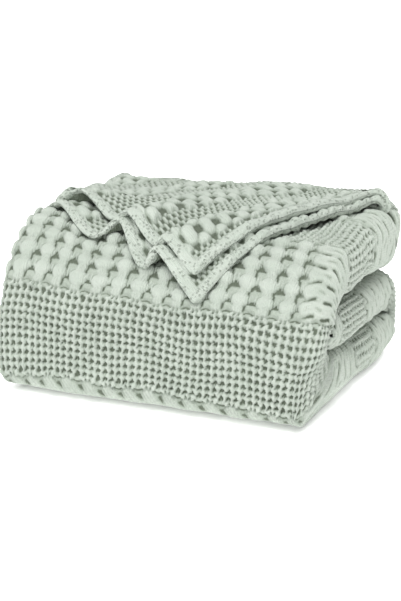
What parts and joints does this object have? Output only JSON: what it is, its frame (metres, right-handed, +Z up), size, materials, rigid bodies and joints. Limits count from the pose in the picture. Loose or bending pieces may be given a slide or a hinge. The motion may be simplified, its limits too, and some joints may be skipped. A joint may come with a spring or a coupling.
{
  "type": "folded waffle weave blanket",
  "caption": "Folded cotton waffle weave blanket: a soft rolled-up block with one corner of its top layers turned out as a flap.",
  "frame": {"origin": "middle of the resting face's box, on the surface that the folded blanket lies on", "axes": "+Z up, -Y towards the rounded front wrap, +X towards the side with the nested folds"},
  "size_m": [0.418, 0.3546, 0.2322],
  "materials": {
    "cotton": "matte, pale sage green, lofty waffle weave"
  },
  "bodies": {
    "root": {"blanket": "cotton"}
  },
  "joints": []
}
